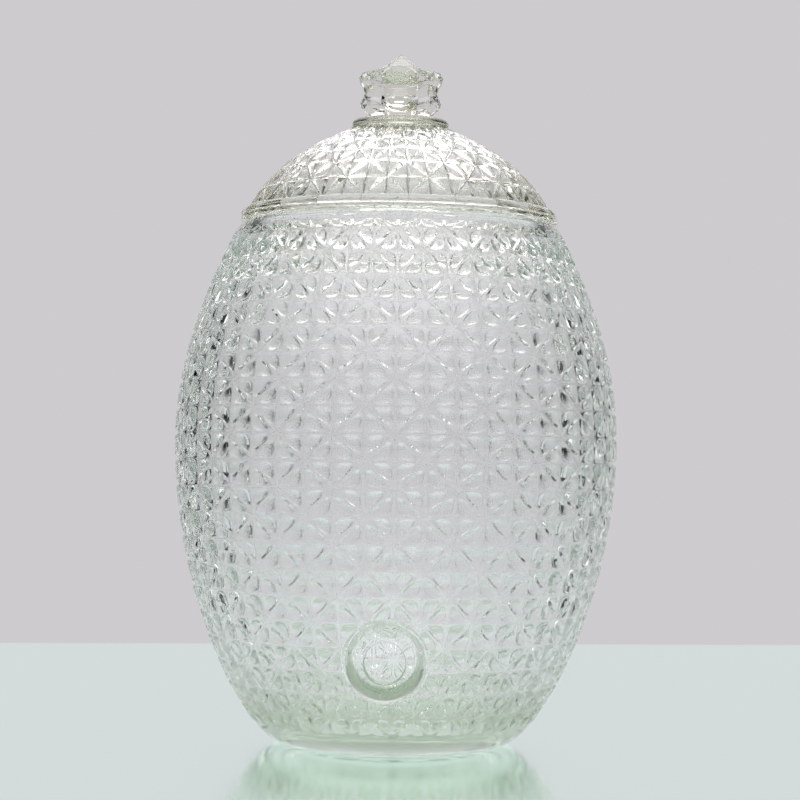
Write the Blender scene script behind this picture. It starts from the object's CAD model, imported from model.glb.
import bisect
import bpy
import bmesh
import math
from mathutils import Matrix, Vector
from mathutils.geometry import barycentric_transform, interpolate_bezier


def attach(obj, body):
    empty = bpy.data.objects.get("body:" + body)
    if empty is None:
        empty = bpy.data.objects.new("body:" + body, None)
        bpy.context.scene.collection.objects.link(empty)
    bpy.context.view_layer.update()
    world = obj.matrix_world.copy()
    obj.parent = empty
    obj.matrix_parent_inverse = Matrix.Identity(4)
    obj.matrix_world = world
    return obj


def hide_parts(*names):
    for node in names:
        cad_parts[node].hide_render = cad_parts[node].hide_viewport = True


# A pressed-glass drink dispenser: an egg-shaped jar with a pad for the tap, and a domed lid with a leaf finial.
# Both are covered in eight-rayed stars: a net of grooves with a three-sided cushion of glass in each mesh.
# Every piece is drawn in millimetres and scaled to metres when it is finished.

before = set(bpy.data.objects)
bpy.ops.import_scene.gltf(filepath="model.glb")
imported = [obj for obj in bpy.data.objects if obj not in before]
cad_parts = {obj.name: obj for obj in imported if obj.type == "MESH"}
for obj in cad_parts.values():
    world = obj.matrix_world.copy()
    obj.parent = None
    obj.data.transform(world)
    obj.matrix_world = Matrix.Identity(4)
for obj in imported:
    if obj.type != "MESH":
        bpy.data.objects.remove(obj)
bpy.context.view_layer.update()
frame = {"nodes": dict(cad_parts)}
print("frame loaded:", ", ".join(frame["nodes"]))


# small tools

def linear(hexColour):
    # sRGB hex to the linear numbers that shaders take
    channels = [int(hexColour[i:i + 2], 16) / 255 for i in (1, 3, 5)]
    return tuple(c / 12.92 if c < 0.04045 else ((c + 0.055) / 1.055) ** 2.4 for c in channels) + (1.0,)


def addNode(tree, kind, settings=None, values=None, links=None):
    # one shader node: its own settings, values for its sockets, and links from (node, output) pairs
    node = tree.nodes.new(kind)
    for name, value in (settings or {}).items():
        setattr(node, name, value)
    for name, value in (values or {}).items():
        node.inputs[name].default_value = value
    for name, (source, output) in (links or {}).items():
        tree.links.new(source.outputs[output], node.inputs[name])
    return node


def flatPoints(pairs):
    # (radius, height) pairs as points in the XZ plane
    return [Vector((r, 0, z)) for r, z in pairs]


def curvePoints(knots, count=200):
    # a profile curve from four (radius, height) knots
    return [Vector(p) for p in interpolate_bezier(*flatPoints(knots), count)]


def measured(path):
    # a profile that runs upwards, with its outward normals and how far along it each point lies
    normals, runs = [], [0.0]
    for i in range(len(path)):
        run = (path[min(i + 1, len(path) - 1)] - path[max(i - 1, 0)]).normalized()
        normals.append(Vector((run.z, 0, -run.x)))
    for a, b in zip(path, path[1:]):
        runs.append(runs[-1] + (b - a).length)
    return path, normals, runs


def onProfile(profile, length, depth, angle):
    # a point some depth under the skin, at a length along the profile and an angle round the axis
    path, normals, runs = profile
    i = max(1, min(bisect.bisect_left(runs, length), len(runs) - 1))
    t = max(0.0, min(1.0, (length - runs[i - 1]) / (runs[i] - runs[i - 1])))
    p = path[i - 1].lerp(path[i], t) - normals[i - 1].lerp(normals[i], t).normalized() * depth
    turn = math.radians(angle - 90)
    return Vector((p.x * math.cos(turn), p.x * math.sin(turn), p.z))


def smoothStep(x):
    x = max(0.0, min(1.0, x))
    return x * x * (3 - 2 * x)


def addChain(bm, points):
    # a profile to spin, as a row of points joined by edges
    verts = [bm.verts.new(p) for p in points]
    for a, b in zip(verts, verts[1:]):
        bm.edges.new((a, b))


def turned(bm, steps, phase=0.0):
    # spins what is drawn so far a full turn round the upright axis
    bmesh.ops.rotate(bm, verts=bm.verts[:], cent=(0, 0, 0), matrix=Matrix.Rotation(math.radians(phase), 3, "Z"))
    bmesh.ops.spin(bm, geom=bm.verts[:] + bm.edges[:], cent=(0, 0, 0), axis=(0, 0, 1),
                   angle=math.tau, steps=steps, use_merge=True, use_duplicate=False)
    bmesh.ops.remove_doubles(bm, verts=bm.verts[:], dist=0.01)
    bmesh.ops.recalc_face_normals(bm, faces=bm.faces[:])


def asObject(bm, name):
    mesh = bpy.data.meshes.new(name)
    bm.to_mesh(mesh)
    bm.free()
    piece = bpy.data.objects.new(name, mesh)
    bpy.context.scene.collection.objects.link(piece)
    return piece


def combined(piece, tool, operation):
    # joins the tool to the piece or cuts it out, and makes the result the piece's own mesh
    join = piece.modifiers.new("join", "BOOLEAN")
    join.operation = operation
    join.solver = "MANIFOLD"
    join.object = tool
    solid = bpy.data.meshes.new_from_object(piece.evaluated_get(bpy.context.evaluated_depsgraph_get()))
    piece.modifiers.clear()
    piece.data = solid
    bpy.data.objects.remove(tool)


def finished(piece, material, sharpAngle):
    # to metres, with smooth faces that meet sharply only past the angle
    bm = bmesh.new()
    bm.from_mesh(piece.data)
    bmesh.ops.scale(bm, vec=(0.001, 0.001, 0.001), verts=bm.verts[:])
    for face in bm.faces:
        face.smooth = True
    print(piece.name, sum(len(f.verts) - 2 for f in bm.faces), "triangles,",
          sum(not e.is_manifold for e in bm.edges), "open edges")
    bm.to_mesh(piece.data)
    bm.free()
    piece.data.set_sharp_from_angle(angle=math.radians(sharpAngle))
    piece.data.materials.clear()
    piece.data.materials.append(material)
    return piece


# the net of stars

def netTriangles(bm, rings, columns, parity, phase):
    # one diagonal groove in each quad, from star to star; stars are where ring + column has the given parity
    # returns the triangles, each with the (ring, column) of its corners, counted on past the last column
    # so that no triangle wraps round
    step, near = 360 / columns, 0.03
    mark = bm.faces.layers.int.new("cushion")
    where = {}
    for vert in bm.verts:
        radius = math.hypot(vert.co.x, vert.co.y)
        for k, ring in enumerate(rings):
            if abs(vert.co.z - ring.z) < near and abs(radius - ring.x) < near:
                angle = math.degrees(math.atan2(vert.co.y, vert.co.x)) + 90 - phase
                where[vert] = (k, round(angle / step) % columns)
    triangles = []
    for face in bm.faces[:]:
        onRings = len(face.verts) == 4 and all(v in where for v in face.verts)
        if not onRings or len({where[v][0] for v in face.verts}) != 2:
            continue
        stars = [v for v in face.verts if sum(where[v]) % 2 == parity]
        other = bmesh.utils.face_split(face, stars[0], stars[1])[0]
        for half in (face, other):
            corners = [where[v] for v in half.verts]
            places = [j for k, j in corners]
            if max(places) - min(places) > 1:
                corners = [(k, j + columns if j == min(places) else j) for k, j in corners]
            triangles.append((half, corners))
            half[mark] = len(triangles)
    return triangles


# glass

glassLook = {
    "ior": 1.52,              # soda-lime glass
    "roughness": 0.0,         # fire-polished skin
    "jarTint": "#b4d3b6",     # what white light keeps after one tint length: iron turns soda-lime green
    "jarTintLength": 450.0,   # mm
    "lidTint": "#cdcfb0",     # the lid's melt is a little more olive
    "lidTintLength": 140.0,
    "rippleSize": 9.0,        # mm, waves left by the mould and the fire polish
    "rippleDepth": 0.01,      # mm
    "rippleDetail": 1.5, "rippleRough": 0.45,
}
poolLook = {
    # heights above the table and radii are in millimetres, each with the width of its soft edge
    "heelTint": "#dae3d3", "heelFrom": 36.0, "heelFull": 10.0,
    "footClear": 5.5, "footSoft": 3.0,         # the foot's own edge is clear again
    "rimTint": "#c4d3bf", "rimRadius": 17.4, "rimCentre": 48.4,
    "faceRadius": 14.8, "faceCentre": 51.3,    # the pad's clear face, a little above the middle of its rim
    "rimTop": 53.0, "rimTopSoft": 1.0, "rimSoft": 0.4,
    "frontFrom": -70.0, "frontFull": -75.0,    # along Y, so that only the pad's side of the jar has a rim
}


def greenPools(tree, place):
    # the glass is greenest where it lies thickest: in the heel, and in the lower rim of the pad
    p = poolLook
    parts = addNode(tree, "ShaderNodeSeparateXYZ", links={"Vector": (place, "Object")})
    flat = addNode(tree, "ShaderNodeCombineXYZ", links={"X": (parts, "X"), "Z": (parts, "Z")})
    fromFace, fromRim = [
        addNode(tree, "ShaderNodeVectorMath", {"operation": "DISTANCE"}, {1: (0, 0, height / 1000)},
                {0: (flat, "Vector")})
        for height in (p["faceCentre"], p["rimCentre"])]
    # each share rises from 0 at its first place to 1 at its second
    shares = []
    for source, start, end in (
            ((parts, "Z"), p["heelFrom"], p["heelFull"]),
            ((parts, "Z"), p["footClear"] - p["footSoft"], p["footClear"] + p["footSoft"]),
            ((fromFace, "Value"), p["faceRadius"] - p["rimSoft"], p["faceRadius"] + p["rimSoft"]),
            ((fromRim, "Value"), p["rimRadius"] + p["rimSoft"], p["rimRadius"] - p["rimSoft"]),
            ((parts, "Z"), p["rimTop"] + p["rimTopSoft"], p["rimTop"] - p["rimTopSoft"]),
            ((parts, "Y"), p["frontFrom"], p["frontFull"])):
        shares.append(addNode(tree, "ShaderNodeMapRange", {"interpolation_type": "SMOOTHSTEP"},
                              {"From Min": min(start, end) / 1000, "From Max": max(start, end) / 1000,
                               "To Min": float(start > end), "To Max": float(end > start)}, {"Value": source}))
    # a pool is where all of its shares meet: the first two make the heel, the rest the rim
    pools = []
    for pool, *others in (shares[:2], shares[2:]):
        for other in others:
            pool = addNode(tree, "ShaderNodeMath", {"operation": "MULTIPLY"}, links={0: (pool, 0), 1: (other, 0)})
        pools.append(pool)
    heel, rim = pools
    heelColour = addNode(tree, "ShaderNodeMix", {"data_type": "RGBA"}, {6: (1, 1, 1, 1), 7: linear(p["heelTint"])},
                         {0: (heel, 0)})
    return addNode(tree, "ShaderNodeMix", {"data_type": "RGBA"}, {7: linear(p["rimTint"])},
                   {0: (rim, 0), 6: (heelColour, 2)})


def makeGlass(name, tint, tintLength, pooled=False):
    # pressed soda-lime glass, fire-polished: clear, green in its depth, with faint waves in the skin
    material = bpy.data.materials.new(name)
    material.use_nodes = True
    tree = material.node_tree
    tree.nodes.clear()
    place = addNode(tree, "ShaderNodeTexCoord")
    ripples = addNode(tree, "ShaderNodeTexNoise", None,
                      {"Scale": 1000 / glassLook["rippleSize"], "Detail": glassLook["rippleDetail"],
                       "Roughness": glassLook["rippleRough"]},
                      {"Vector": (place, "Object")})
    waves = addNode(tree, "ShaderNodeBump", None,
                    {"Strength": 1.0, "Distance": glassLook["rippleDepth"] / 1000}, {"Height": (ripples, "Fac")})
    glass = addNode(tree, "ShaderNodeBsdfPrincipled", None,
                    {"Base Color": (1, 1, 1, 1), "Roughness": glassLook["roughness"], "IOR": glassLook["ior"],
                     "Transmission Weight": 1.0}, {"Normal": (waves, "Normal")})
    if pooled:
        tree.links.new(greenPools(tree, place).outputs[2], glass.inputs["Base Color"])
    # Beer's law: the density is per metre, and each channel keeps its share of the light over one tint length
    losses = [-math.log(c) / (tintLength / 1000) for c in linear(tint)[:3]]
    colour = [1 - loss / max(losses) for loss in losses]
    depth = addNode(tree, "ShaderNodeVolumeAbsorption", values={"Color": (*colour, 1), "Density": max(losses)})
    addNode(tree, "ShaderNodeOutputMaterial", links={"Surface": (glass, "BSDF"), "Volume": (depth, "Volume")})
    return material


jarGlass = makeGlass("soda-lime glass, pale green", glassLook["jarTint"], glassLook["jarTintLength"], pooled=True)
lidGlass = makeGlass("soda-lime glass, faint olive", glassLook["lidTint"], glassLook["lidTintLength"])


# the jar

jarShape = {
    "shoulder": (81.8, 252.38), "shoulderPull": 29.3, "shoulderLean": 26.0,
    "belly": (109.8, 150.0), "bellyPullUp": 41.0, "bellyPullDown": 82.0,
    "foot": (56.0, 0.0), "footPull": 18.0, "footLean": 16.0, "height": 258.0,
    "wall": 6.0, "lipWall": 12.5, "base": 13.0,
    "lipCentre": (72.81, 248.0), "lipRound": 10.0, "lipAngles": (28, 40, 52, 64, 76, 88),
    "mouthRadius": 69.0, "mouthRound": 3.0, "mouthAngles": (5, 25, 45, 65, 88),
    # (radius, height) from the middle of the underside over the foot's flat ring, and inside back to the middle
    "underside": ((0, 1.5), (22, 1.5), (42, 1.5), (44.6, 1.45), (47.2, 0.1), (48.5, 0), (54, 0),
                  (56, 0.15), (58.7, 1.25)),
    "floor": ((55, 14.4), (52, 13.5), (44, 13.05), (25, 13), (0, 13)),
    "heelRings": (6, 9, 12, 15),          # mm along the wall, where it is plain
    "columns": 48,            # 24 stars round the jar, staggered from ring to ring
    "phase": 1.95,            # degrees from the tap's axis to the nearest star
    "firstRing": 28.2, "ringPitch": 12.6, "ringCount": 20,       # mm along the wall from the foot
    "hem": 17.6, "topHem": 271.7,                                # the half rows end here
    "grooveDepth": 1.0,       # below the tops of the cushions
    "starDip": 0.2,           # the stars' middles lie this much lower still
    "edgeLevels": (0.3, 0.45, 0.6),       # where a cushion's edge starts, is steepest and ends, in its bulge
    "cornerRound": 0.3,       # how far the cushions' corners are rounded away: 0 sharp, 1 almost a circle
    "cornerFrom": 0.45, "cornerSoft": 0.4,       # how near to a corner that begins, and over how much
    "hemRise": 1.4,           # the lowest grooves come to their full depth this much sooner
    "sideCuts": 3,            # extra points along each side of a cushion
    "ringInset": 0.1,         # mm, only to draw the rings apart before each is set on its level
    "sharp": 48,              # degrees
}
bossShape = {
    "height": 48.0, "reach": 96.5, "radius": 18.1,
    "faceRings": (0, 5, 8, 10.1, 12),     # radii of the flat face's rings
    "edge": 4.4, "edgeAngles": (0, 15, 30, 45, 60, 72, 82),
    # the side widens a little towards the wall: (mm wider, mm behind the face)
    "flare": ((0.06, 4.7), (0.2, 7), (0.35, 10), (0.5, 13.5), (0.7, 18), (1.1, 26), (1.7, 40)),
    "topFlat": 0.75, "flatFrom": -2, "flatSoft": 12, "flatFall": 4.8,     # above, the edge falls this much less
    "blend": 1.6, "topBlend": 3.0, "blendFrom": -4, "blendSoft": 14,      # the fillet, and the wider one above
    "clearing": 20.6, "clearingGap": 0.4,        # the round place in the relief that the pad fills
    "clearingSunk": 4.3, "sideSunk": 3.6, "backSunk": 5.0,      # under the smooth wall
    "hole": 9.5, "holeLength": 10.0, "holeEdge": 0.5, "seat": 15.0,
    "steps": 96, "holeSteps": 72,
}


def jarOutline():
    # the outer wall from the foot up to the shoulder
    s = jarShape
    lean, toe = math.radians(s["shoulderLean"]), math.radians(s["footLean"])
    lower = curvePoints([s["foot"], (s["foot"][0] + s["footPull"] * math.cos(toe), s["footPull"] * math.sin(toe)),
                         (s["belly"][0], s["belly"][1] - s["bellyPullDown"]), s["belly"]])
    upper = curvePoints([s["belly"], (s["belly"][0], s["belly"][1] + s["bellyPullUp"]),
                         (s["shoulder"][0] + s["shoulderPull"] * math.sin(lean),
                          s["shoulder"][1] - s["shoulderPull"] * math.cos(lean)), s["shoulder"]])
    return lower + upper[1:]


jarWall = measured(jarOutline())
wallLine, wallNormals, wallRuns = jarWall


def wallThickness(i):
    # thin at the belly, thicker towards the base and the lip
    s, belly = jarShape, len(wallLine) // 2
    if i < belly:
        return s["wall"] + (s["base"] - s["wall"]) * (1 - i / belly) ** 2
    return s["wall"] + (s["lipWall"] - s["wall"]) * ((i - belly) / belly) ** 3


def bulge(share):
    # 1 in the middle of a triangle, 0 along its sides, and lowest of all near its corners
    s = jarShape
    corner = smoothStep((max(share) - s["cornerFrom"]) / s["cornerSoft"])
    return 27 * share[0] * share[1] * share[2] * (1 - s["cornerRound"] * corner)


def shapeCushions(bm, triangles, lengths, depthAt):
    # draws rings into every triangle, one for each level of its bulge, then sets each point to its depth
    s = jarShape
    levels, step = s["edgeLevels"], 360 / s["columns"]
    mark = bm.faces.layers.int["cushion"]
    corners = {}
    for index, (face, spots) in enumerate(triangles, 1):
        # a corner's place, then its length along the wall, its angle, and whether a star stands there
        corners[index] = ([v.co.copy() for v in face.verts],
                          [(lengths[k], s["phase"] + j * step, (k + j) % 2 == 0) for k, j in spots])
    # a dictionary keeps their order, which a set would change from run to run
    sides = list(dict.fromkeys(e for face, spots in triangles for e in face.edges))
    bmesh.ops.subdivide_edges(bm, edges=sides, cuts=s["sideCuts"])
    faces = [f for f in bm.faces if f[mark]]
    for level in levels:
        bmesh.ops.inset_individual(bm, faces=faces, thickness=s["ringInset"], depth=0, use_even_offset=True)
    bmesh.ops.poke(bm, faces=faces, offset=0, center_mode="MEAN")
    homes = {}
    for face in bm.faces:
        if face[mark]:
            for v in face.verts:
                homes[v] = face[mark]
    middle = Vector((1, 1, 1)) / 3
    for v, index in homes.items():
        points, spots = corners[index]
        # how much of each corner the point has
        share = barycentric_transform(v.co, *points, Vector((1, 0, 0)), Vector((0, 1, 0)), Vector((0, 0, 1)))
        spread = 1 - 3 * min(share)              # 1 on the sides, 0 in the middle
        if 0.001 < spread < 0.999:
            # which ring it is on, from its distance to the nearest side, then out or in to that ring's level
            edges = [(points[i - 2], points[i - 1] - points[i - 2]) for i in range(3)]
            gap = min(edge.cross(v.co - start).length / edge.length for start, edge in edges)
            level = levels[min(len(levels), max(1, round(gap / s["ringInset"]))) - 1]
            out = (share - middle) / spread
            low, high = 0.0, 1.0
            for halving in range(14):
                half = (low + high) / 2
                low, high = (half, high) if bulge(middle + out * half) > level else (low, half)
            share = middle + out * low
        length = sum(w * spot[0] for w, spot in zip(share, spots))
        angle = sum(w * spot[1] for w, spot in zip(share, spots))
        v.co = onProfile(jarWall, length, depthAt(length, share, spots), angle)


def buildJarBody():
    s = jarShape
    lengths = [s["hem"]] + [s["firstRing"] + s["ringPitch"] * k for k in range(s["ringCount"])] + [s["topHem"]]
    depths = [0] + [s["grooveDepth"]] * s["ringCount"] + [0]
    rings = [onProfile(jarWall, length, depth, 90) for length, depth in zip(lengths, depths)]
    heel = [min(zip(wallRuns, wallLine), key=lambda spot: abs(spot[0] - length))[1] for length in s["heelRings"]]
    lip = [(s["lipCentre"][0] + s["lipRound"] * math.cos(a), s["lipCentre"][1] + s["lipRound"] * math.sin(a))
           for a in map(math.radians, s["lipAngles"])]
    mouth = [(s["mouthRadius"] + s["mouthRound"] * (1 - math.sin(a)), s["height"] - s["mouthRound"] * (1 - math.cos(a)))
             for a in map(math.radians, s["mouthAngles"])]
    # the inside is smooth, so every ninth point of the wall is enough
    inner = [wallLine[i] - wallNormals[i] * wallThickness(i) for i in range(len(wallLine) - 1, 0, -9)]
    inner = [p for p in inner if s["base"] + 2 < p.z < s["height"] - 6]
    bm = bmesh.new()
    addChain(bm, flatPoints(s["underside"]) + heel + rings + flatPoints(lip + mouth) + inner + flatPoints(s["floor"]))
    turned(bm, s["columns"], s["phase"] - 90)
    # stars stand on odd columns at the first ring, on even ones at the next, and so on
    triangles = netTriangles(bm, rings, s["columns"], 0, s["phase"])
    print("jar cushions:", len(triangles))
    edgeStart, edgeEnd = s["edgeLevels"][0], s["edgeLevels"][-1]

    def depthAt(length, share, spots):
        # a cushion rises fastest beside the middle of each groove and dies away at the corners
        rise = smoothStep((bulge(share) - edgeStart) / (edgeEnd - edgeStart))
        star = sum(w for w, (run, angle, isStar) in zip(share, spots) if isStar)
        deepest = s["grooveDepth"] + s["starDip"] * smoothStep(star * 2 - 1)
        fade = 1.0
        if length < lengths[1]:
            fade = smoothStep((length - lengths[0]) / (lengths[1] - lengths[0]) * s["hemRise"])
        if length > lengths[-2]:
            fade = smoothStep((lengths[-1] - length) / (lengths[-1] - lengths[-2]))
        return fade * deepest * (1 - rise)

    shapeCushions(bm, triangles, lengths, depthAt)
    bmesh.ops.recalc_face_normals(bm, faces=bm.faces[:])
    return asObject(bm, "jar_body")


def wallAt(x, z):
    # how far out the smooth wall stands, in the tap's direction
    for a, b in zip(wallLine, wallLine[1:]):
        if a.z <= z <= b.z:
            radius = a.x + (b.x - a.x) * (z - a.z) / (b.z - a.z)
            return math.sqrt(max(radius * radius - x * x, 1))


def towardsTap(bm):
    # what is drawn round the upright axis is laid on the tap's axis, pointing out of the jar
    bmesh.ops.rotate(bm, verts=bm.verts[:], cent=(0, 0, 0), matrix=Matrix.Rotation(math.radians(90), 3, "X"))
    bmesh.ops.translate(bm, verts=bm.verts[:], vec=(0, 0, bossShape["height"]))
    bmesh.ops.recalc_face_normals(bm, faces=bm.faces[:])


def buildPad():
    # the pad for the tap: a round boss with a soft edge, laid on the smooth wall with a fillet
    b = bossShape
    face = b["radius"] - b["edge"]
    corner = [(face + b["edge"] * math.sin(a), b["edge"] * (1 - math.cos(a)))
              for a in map(math.radians, b["edgeAngles"])]
    side = [(b["radius"] + wider, fall) for wider, fall in b["flare"]] + [(b["clearing"], 60)]
    front = [(r, b["reach"] - fall) for r, fall in [(r, 0) for r in b["faceRings"]] + corner + side]
    # the last rings are drawn far back, so that they are known when they are sunk into the wall
    sideRing, backRing = -100, -200
    bm = bmesh.new()
    addChain(bm, flatPoints(front + [(b["clearing"], sideRing), (b["clearing"] - 3, backRing), (0, backRing)]))
    turned(bm, b["steps"])
    towardsTap(bm)
    for v in bm.verts:
        wall = wallAt(v.co.x, v.co.z)
        above = v.co.z - b["height"]
        out = -v.co.y
        if out < backRing + 50:
            out = wall - b["backSunk"]
        elif out < sideRing + 50:
            out = wall - b["sideSunk"]
        else:
            # the edge is softer below than above
            fall = b["reach"] - out
            if fall < b["flatFall"]:
                out = b["reach"] - fall * (1 - b["topFlat"] * smoothStep((above - b["flatFrom"]) / b["flatSoft"]))
            # the pad or the wall, whichever stands further out, with a fillet between them
            wider = smoothStep((above - b["blendFrom"]) / b["blendSoft"])
            blend = b["blend"] + (b["topBlend"] - b["blend"]) * wider
            mix = max(0.0, blend - abs(out - wall)) / blend
            out = min(max(out, wall) + mix * mix * blend / 4, b["reach"])
        v.co.y = -out
    return asObject(bm, "pad")


def buildJar():
    b = bossShape
    jar = buildJarBody()
    # the relief stops at the pad's clearing; then the pad goes on, and the hole and its seat are cut
    clearing, past = b["clearing"] - b["clearingGap"], 130
    bm = bmesh.new()
    addChain(bm, flatPoints([(0, past), (clearing, past)] + [(clearing * part, 0) for part in (1, 0.7, 0.4, 0)]))
    turned(bm, b["steps"])
    towardsTap(bm)
    for v in bm.verts:
        if -v.co.y < past / 2:
            v.co.y = -(wallAt(v.co.x, v.co.z) - b["clearingSunk"])
    combined(jar, asObject(bm, "clearing"), "DIFFERENCE")
    combined(jar, buildPad(), "UNION")
    # from behind the wall through the seat and the hole, whose edge is bevelled, to in front of the face
    inside, seatAt, flared = 60, b["reach"] - b["holeLength"], b["hole"] + b["holeEdge"]
    bm = bmesh.new()
    addChain(bm, flatPoints([(0, inside), (b["seat"], inside), (b["seat"], seatAt), (b["hole"], seatAt),
                             (b["hole"], b["reach"] - b["holeEdge"]), (flared, b["reach"] + 0.01),
                             (flared, b["reach"] + 5), (0, b["reach"] + 5)]))
    turned(bm, b["holeSteps"])
    towardsTap(bm)
    combined(jar, asObject(bm, "bore"), "DIFFERENCE")
    return finished(jar, jarGlass, jarShape["sharp"])


jar = buildJar()
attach(jar, "jar")
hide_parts("jar")
print("jar built")


# the lid

lidShape = {
    "dome": (75.3, 264.4), "domePullFoot": 29.6, "domeLean": 27.0,       # (radius, height) at the dome's foot
    "top": (22.2, 306.8), "domePullTop": 17.0,
    "wall": 4.5, "root": 12.0,                # thicker at the dome's foot
    "ceiling": 302.3, "ceilingRadius": 12,    # the flat inside, under the finial
    "innerFoot": 262.5,                       # where the dome's inside ends
    "columns": 44,            # 22 stars round the lid
    "phase": -2.77,           # degrees from the tap's axis to a star of the second ring
    "ringPitch": 10.9, "ringCount": 7,        # mm along the dome from its foot
    "grooveDepth": 1.4, "grooveWide": 1.1,    # the V grooves
    "facetFall": 0.3,         # how far a facet falls from its middle to its edge
    "ringOuter": 67.8, "ringInner": 63.8, "ringFoot": 251.0, "ringTop": 256, "ringRound": 0.8,
    "flangeRadius": 79.3, "flangeFoot": 258,
    # the flange's edge, from below over its bead to the dome: (mm in from its radius, height)
    "flangeEdge": ((1.2, 258), (0.2, 258.3), (0, 259.0), (0.1, 259.9), (0.9, 260.3),
                   (0.7, 260.9), (0.8, 262), (1.6, 263.3), (2.9, 264.2), (4.3, 264.5)),
    "crown": ((25.5, 305.0), (22.5, 306.4), (18, 307.2), (0, 307.2)),        # (radius, height), under the finial
    "barFoot": 260.4, "barTop": 264.35, "barDeep": 4.3,         # the part of the flange that has the bars
    "barGap": 0.45, "barRise": 0.35,
    "sharp": 40,              # degrees
}


def domeOutline():
    s = lidShape
    (footRadius, footHeight), (topRadius, topHeight) = s["dome"], s["top"]
    lean = math.radians(s["domeLean"])
    return curvePoints([
        s["dome"],
        (footRadius - s["domePullFoot"] * math.sin(lean), footHeight + s["domePullFoot"] * math.cos(lean)),
        (topRadius + s["domePullTop"] * math.cos(lean), topHeight - s["domePullTop"] * math.sin(lean)),
        s["top"]], 300)


def buildLidShell():
    s = lidShape
    dome = measured(domeOutline())
    line, normals, runs = dome
    lengths = [s["ringPitch"] * k for k in range(s["ringCount"])]
    rings = [onProfile(dome, length, s["grooveDepth"], 90) for length in lengths]
    # the locating ring, then out under the flange, round its edge and over its bead
    ring, foot, soft = s["ringOuter"], s["ringFoot"], s["ringRound"]
    flange = flatPoints([(s["ringInner"], foot), (ring - soft, foot), (ring, foot + soft),
                         (ring, s["flangeFoot"] - 1), (ring + soft, s["flangeFoot"])]
                        + [(s["flangeRadius"] - inset, z) for inset, z in s["flangeEdge"]])
    # the inside is smooth, from the ceiling down to the locating ring
    last = len(line) - 1
    inner = [line[i] - normals[i] * (s["wall"] + (s["root"] - s["wall"]) * (1 - i / last) ** 3)
             for i in range(last, 0, -24)]
    inner = [p for p in inner if p.z > s["innerFoot"] and p.x > s["ceilingRadius"]]
    bm = bmesh.new()
    addChain(bm, flange + rings + flatPoints(s["crown"]))
    addChain(bm, flatPoints([(0, s["ceiling"]), (s["ceilingRadius"], s["ceiling"])]) + inner
             + flatPoints([(s["ringInner"], s["ringTop"])]) + flange[:1])
    bmesh.ops.remove_doubles(bm, verts=bm.verts[:], dist=0.001)
    turned(bm, s["columns"], s["phase"] - 90)
    triangles = netTriangles(bm, rings, s["columns"], 1, s["phase"])
    print("lid facets:", len(triangles))

    # straight V grooves round nearly flat facets, whose middles stand on the dome's own curve
    faces = [face for face, spots in triangles]
    bmesh.ops.inset_individual(bm, faces=faces, thickness=s["grooveWide"], depth=0, use_even_offset=True)
    rims = {v for face in faces for v in face.verts}
    peaks = bmesh.ops.poke(bm, faces=faces, offset=0, center_mode="MEAN")["verts"]
    for verts, depth in ((rims, s["facetFall"]), (peaks, 0.0)):
        for v in verts:
            angle = math.degrees(math.atan2(v.co.y, v.co.x)) + 90
            flat = Vector((math.hypot(v.co.x, v.co.y), 0, v.co.z))
            near = min(range(len(line)), key=lambda i: (line[i] - normals[i] * s["grooveDepth"] - flat).length)
            v.co = onProfile(dome, runs[near], depth, angle)

    # the bright bead on the flange is broken into one short bar per star
    step = 360 / s["columns"]
    bars = {}
    for face in bm.faces:
        c = face.calc_center_median()
        onBead = s["barFoot"] < c.z < s["barTop"] and math.hypot(c.x, c.y) > s["flangeRadius"] - s["barDeep"]
        if onBead and len(face.verts) == 4:
            column = (math.degrees(math.atan2(c.y, c.x)) + 90 - s["phase"]) / step
            bars.setdefault(math.floor((column + 1) / 2) % (s["columns"] // 2), []).append(face)
    for faces in bars.values():
        bmesh.ops.inset_region(bm, faces=faces, thickness=s["barGap"], depth=s["barRise"], use_even_offset=True)
    print("lid bars:", len(bars))
    return asObject(bm, "lid_body")


finialShape = {
    "collarRadius": 24.2, "collarFoot": 305.8, "collarThick": 3.9, "collarSteps": 96,
    "stemRadius": 7.75, "leafFoot": 311.5, "coreTop": 20.0,
    # a leaf's midrib from the point down to its foot: (how far out, height, half the leaf's width, drop of its edges)
    "leaf": (
        (0.0, 31.7, 0.4, 0.0), (4.5, 28.2, 4.9, 0.9), (9.0, 24.9, 9.2, 1.6), (13.0, 24.3, 9.4, 2.4),
        (16.8, 23.5, 9.4, 3.0), (19.7, 22.3, 9.3, 4.4), (21.1, 19.6, 8.9, 6.0), (20.4, 16.6, 8.2, 6.0),
        (18.8, 14.0, 7.8, 5.0), (18.1, 11.9, 7.8, 4.6), (19.0, 9.6, 8.6, 5.2), (20.3, 7.3, 9.2, 6.0),
        (20.0, 4.9, 8.8, 5.5), (17.6, 2.4, 7.7, 4.0), (14.3, 0.0, 7.0, 2.5)),
    "leafLength": 47.0, "leafCuts": (20, 56),                # across, and along the midrib
    "veinPitch": 2.4, "veinDepth": 0.2, "veinSlant": 4.5, "veinEnd": 0.3,
    "edgeQuick": 5, "endQuick": 12,                          # how soon the veins fade: at the edges, and at their end
    "roofCurl": 1.2, "faceCurl": 2.3, "curlFrom": 0.3,       # how late a leaf's edges drop: 1 at once, more is later
    "corePast": 1.5, "coreWide": 0.82,                       # each leaf ends past the axis, a little narrower
}


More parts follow.
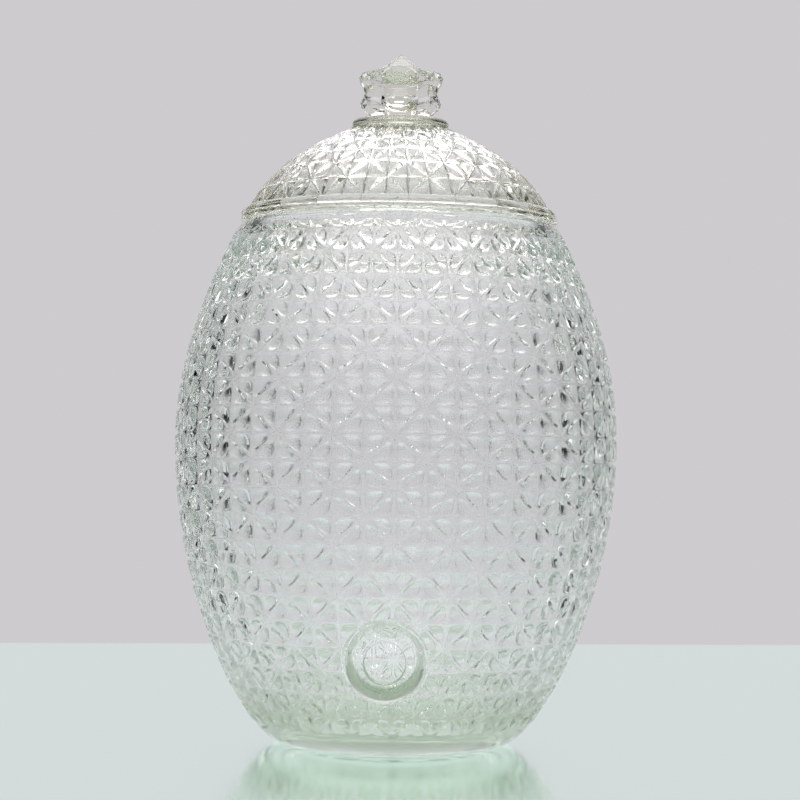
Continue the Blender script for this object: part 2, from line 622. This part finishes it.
def buildCollar():
    s = finialShape
    edge, foot, top = s["collarThick"] / 2, s["collarFoot"], s["collarFoot"] + s["collarThick"]
    centre, stem, leafFoot = s["collarRadius"] - edge, s["stemRadius"], s["leafFoot"]
    rim = [(centre + edge * math.cos(a), foot + edge + edge * math.sin(a))
           for a in map(math.radians, range(-90, 91, 20))]
    bm = bmesh.new()
    addChain(bm, flatPoints(
        [(0, foot - 0.6), (centre - 3, foot - 0.4)] + rim
        + [(centre - 4, top), (10.5, top + 0.05), (8.8, top + 0.45), (stem, leafFoot - 0.6),
           (stem, leafFoot + 3), (0, leafFoot + 3)]))
    turned(bm, s["collarSteps"])
    return asObject(bm, "collar")


def buildLeaf(turn):
    # a grid bent along the midrib, with slanting veins on its roof, then drawn back to the finial's core
    s = finialShape
    bm = bmesh.new()
    across, along = s["leafCuts"]
    bmesh.ops.create_grid(bm, x_segments=across, y_segments=along, size=0.5)
    last = len(s["leaf"]) - 1
    core = {}
    for v in bm.verts:
        u, t = v.co.x * 2, 0.5 - v.co.y          # -1 to 1 across the leaf, 0 to 1 down the midrib
        place = t * last
        i = min(int(place), last - 1)
        rib, high, half, drop = [a + (b - a) * (place - i) for a, b in zip(s["leaf"][i], s["leaf"][i + 1])]
        ahead, behind = s["leaf"][min(i + 1, last)], s["leaf"][i]
        run = Vector((ahead[0] - behind[0], 0, ahead[1] - behind[1])).normalized()
        out = Vector((-run.z, 0, run.x))
        # the veins die away at the midrib, at the leaf's edges and where the roof ends
        fade = min(1, s["edgeQuick"] * abs(u)) * min(1, s["edgeQuick"] * (1 - abs(u)))
        fade *= max(0, min(1, (s["veinEnd"] - t) * s["endQuick"]))
        slanted = t * s["leafLength"] - abs(u) * s["veinSlant"]
        vein = s["veinDepth"] * fade * math.cos(math.tau * slanted / s["veinPitch"])
        curl = s["roofCurl"]
        if t >= s["curlFrom"]:
            curl = min(s["faceCurl"], curl + (t - s["curlFrom"]) * s["endQuick"])
        core[v] = (-s["corePast"], half * u * s["coreWide"], s["coreTop"] * (1 - t))
        v.co = Vector((rib, half * u, high)) + out * (vein - drop * abs(u) ** curl)
    drawn = bmesh.ops.extrude_face_region(bm, geom=bm.faces[:], use_keep_orig=True)
    made = [g for g in drawn["geom"] if isinstance(g, bmesh.types.BMVert)]
    lookup = {tuple(round(c, 5) for c in v.co): place for v, place in core.items()}
    for v in made:
        v.co = lookup[tuple(round(c, 5) for c in v.co)]
    bmesh.ops.recalc_face_normals(bm, faces=bm.faces[:])
    if bm.calc_volume(signed=True) < 0:
        bmesh.ops.reverse_faces(bm, faces=bm.faces[:])
    bmesh.ops.translate(bm, verts=bm.verts[:], vec=(0, 0, s["leafFoot"]))
    bmesh.ops.rotate(bm, verts=bm.verts[:], cent=(0, 0, 0), matrix=Matrix.Rotation(math.radians(turn), 3, "Z"))
    return asObject(bm, "leaf")


def buildLid():
    lid = buildLidShell()
    combined(lid, buildCollar(), "UNION")
    for turn in (-90, 0, 90, 180):
        combined(lid, buildLeaf(turn), "UNION")
    return finished(lid, lidGlass, lidShape["sharp"])


lid = buildLid()
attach(lid, "lid")
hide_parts("lid")
print("lid built")


# camera, table and light

view = {
    "lens": 95.85, "sensor": 36,                             # mm
    "distance": 1.065, "height": 0.145,                      # metres, from the jar's axis and from the table
    "azimuth": 2.2, "pitch": 1.34, "yaw": 0.094, "roll": 0.83,       # degrees
}
studio = {
    "wall": "#cdcbce", "table": "#d3dada",
    # levels are times the wall's own brightness, and places are parts of the world's direction
    "topFrom": 0.52, "topSoft": 0.12, "topLight": 2.4,       # the softbox overhead
    "topWide": 0.45, "topWideSoft": 0.25,
    "fullSide": 24.0, "darkSide": 40.0,                      # degrees off the view where the wall darkens
    "sideDark": 0.0, "sideHigh": 0.8, "sideHighFrom": 0.1, "sideHighFull": 0.5,
    "front": 0.35, "frontTop": 1.45, "frontFrom": 0.05, "frontFull": 0.6,       # the room behind the camera
    "backSoft": 0.3,
    "tableMirror": 0.97, "tableRough": 0.13,                 # at a grazing look
    "acrylicIor": 1.49, "mirrorLow": 0.05, "mirrorFrom": 0.04, "mirrorFull": 0.4,
    "tableEdge": 0.535, "tableTurn": 9.5, "tableSize": 3.0, "tableGap": 0.0002,       # metres and degrees
}


def makeCamera():
    camera = bpy.data.objects.new("camera", bpy.data.cameras.new("camera"))
    camera.data.lens = view["lens"]
    camera.data.sensor_width = view["sensor"]
    bpy.context.scene.collection.objects.link(camera)
    azimuth = math.radians(view["azimuth"])
    camera.location = (view["distance"] * math.sin(azimuth), -view["distance"] * math.cos(azimuth), view["height"])
    camera.rotation_mode = "QUATERNION"
    camera.rotation_quaternion = (
        Matrix.Rotation(azimuth - math.radians(view["yaw"]), 3, "Z")
        @ Matrix.Rotation(math.radians(90 + view["pitch"]), 3, "X")
        @ Matrix.Rotation(math.radians(view["roll"]), 3, "Z")).to_quaternion()
    bpy.context.scene.camera = camera


def makeWorld():
    world = bpy.data.worlds.new("studio")
    bpy.context.scene.world = world
    world.use_nodes = True
    tree = world.node_tree
    tree.nodes.clear()
    wall = linear(studio["wall"])
    direction = addNode(tree, "ShaderNodeTexCoord")
    parts = addNode(tree, "ShaderNodeSeparateXYZ", links={"Vector": (direction, "Generated")})
    # the bright wall behind darkens to the sides, less so high up, and gives way to the dimmer room in front
    sideways = addNode(tree, "ShaderNodeMath", {"operation": "ABSOLUTE"}, links={0: (parts, "X")})
    soft = {"interpolation_type": "SMOOTHSTEP"}
    higher = addNode(tree, "ShaderNodeMapRange", soft,
                     {"From Min": studio["sideHighFrom"], "From Max": studio["sideHighFull"],
                      "To Min": studio["sideDark"], "To Max": studio["sideHigh"]}, {"Value": (parts, "Z")})
    side = addNode(tree, "ShaderNodeMapRange", soft,
                   {"From Min": math.sin(math.radians(studio["fullSide"])),
                    "From Max": math.sin(math.radians(studio["darkSide"])), "To Min": 1.0},
                   {"Value": (sideways, "Value"), "To Max": (higher, "Result")})
    room = addNode(tree, "ShaderNodeMapRange", soft,
                   {"From Min": studio["frontFrom"], "From Max": studio["frontFull"],
                    "To Min": studio["front"], "To Max": studio["frontTop"]}, {"Value": (parts, "Z")})
    back = addNode(tree, "ShaderNodeMapRange", soft, {"From Min": -studio["backSoft"], "From Max": studio["backSoft"]},
                   {"Value": (parts, "Y"), "To Min": (room, "Result")})
    level = addNode(tree, "ShaderNodeMath", {"operation": "MULTIPLY"},
                    links={0: (side, "Result"), 1: (back, "Result")})
    # the softbox overhead is narrow
    top = addNode(tree, "ShaderNodeMapRange", soft,
                  {"From Min": studio["topFrom"], "From Max": studio["topFrom"] + studio["topSoft"],
                   "To Min": 0.0, "To Max": studio["topLight"]}, {"Value": (parts, "Z")})
    narrow = addNode(tree, "ShaderNodeMapRange", soft,
                     {"From Min": studio["topWide"], "From Max": studio["topWide"] + studio["topWideSoft"],
                      "To Min": 1.0, "To Max": 0.0}, {"Value": (sideways, "Value")})
    box = addNode(tree, "ShaderNodeMath", {"operation": "MULTIPLY"},
                  links={0: (top, "Result"), 1: (narrow, "Result")})
    amount = addNode(tree, "ShaderNodeMath", {"operation": "ADD"}, links={0: (level, "Value"), 1: (box, "Value")})
    light = addNode(tree, "ShaderNodeBackground", None, {"Color": wall}, {"Strength": (amount, "Value")})
    plain = addNode(tree, "ShaderNodeBackground", values={"Color": wall, "Strength": 1.0})
    # the camera and the table's blurred mirror see the plain wall, the glass sees the lights
    path = addNode(tree, "ShaderNodeLightPath")
    blurred = addNode(tree, "ShaderNodeMath", {"operation": "SUBTRACT", "use_clamp": True},
                      links={0: (path, "Is Glossy Ray"), 1: (path, "Is Singular Ray")})
    bare = addNode(tree, "ShaderNodeMath", {"operation": "MAXIMUM"},
                   links={0: (path, "Is Camera Ray"), 1: (blurred, "Value")})
    mixed = addNode(tree, "ShaderNodeMixShader",
                    links={0: (bare, "Value"), 1: (light, "Background"), 2: (plain, "Background")})
    addNode(tree, "ShaderNodeOutputWorld", links={"Surface": (mixed, "Shader")})


def makeTable():
    # a sheet of white acrylic on a light box: it glows evenly and mirrors what stands on it
    size = studio["tableSize"] / 2
    bm = bmesh.new()
    bmesh.ops.create_grid(bm, x_segments=1, y_segments=1, size=size)
    bmesh.ops.translate(bm, vec=(0, studio["tableEdge"] - size, -studio["tableGap"]), verts=bm.verts[:])
    bmesh.ops.rotate(bm, verts=bm.verts[:], cent=(0, studio["tableEdge"], 0),
                     matrix=Matrix.Rotation(math.radians(studio["tableTurn"]), 3, "Z"))
    table = asObject(bm, "table")
    material = bpy.data.materials.new("white acrylic on a light box")
    material.use_nodes = True
    tree = material.node_tree
    tree.nodes.clear()
    # the mirrored wall and the glow have the same colour, so that the sheet is even
    tint = [t / w for t, w in zip(linear(studio["table"]), linear(studio["wall"]))]
    glow = addNode(tree, "ShaderNodeEmission", values={"Color": linear(studio["table"]), "Strength": 1.0})
    mirror = addNode(tree, "ShaderNodeBsdfGlossy", values={"Color": tint, "Roughness": studio["tableRough"]})
    # the more level the look, the more it mirrors
    edge = addNode(tree, "ShaderNodeFresnel", values={"IOR": studio["acrylicIor"]})
    share = addNode(tree, "ShaderNodeMapRange", None,
                    {"From Min": studio["mirrorFrom"], "From Max": studio["mirrorFull"],
                     "To Min": studio["mirrorLow"], "To Max": studio["tableMirror"]}, {"Value": (edge, "Fac")})
    sheen = addNode(tree, "ShaderNodeMixShader",
                    links={0: (share, "Result"), 1: (glow, "Emission"), 2: (mirror, "BSDF")})
    # from below, the sheet is clear
    back = addNode(tree, "ShaderNodeNewGeometry")
    clear = addNode(tree, "ShaderNodeBsdfTransparent")
    sided = addNode(tree, "ShaderNodeMixShader",
                    links={0: (back, "Backfacing"), 1: (sheen, "Shader"), 2: (clear, "BSDF")})
    addNode(tree, "ShaderNodeOutputMaterial", links={"Surface": (sided, "Shader")})
    table.data.materials.append(material)


makeCamera()
makeWorld()
makeTable()
scene = bpy.context.scene
scene.view_settings.view_transform = "Standard"
scene.view_settings.look = "None"
scene.cycles.use_denoising = True
scene.cycles.max_bounces = 24
scene.cycles.transmission_bounces = 24
scene.cycles.glossy_bounces = 12
scene.cycles.transparent_max_bounces = 16
print("scene set")
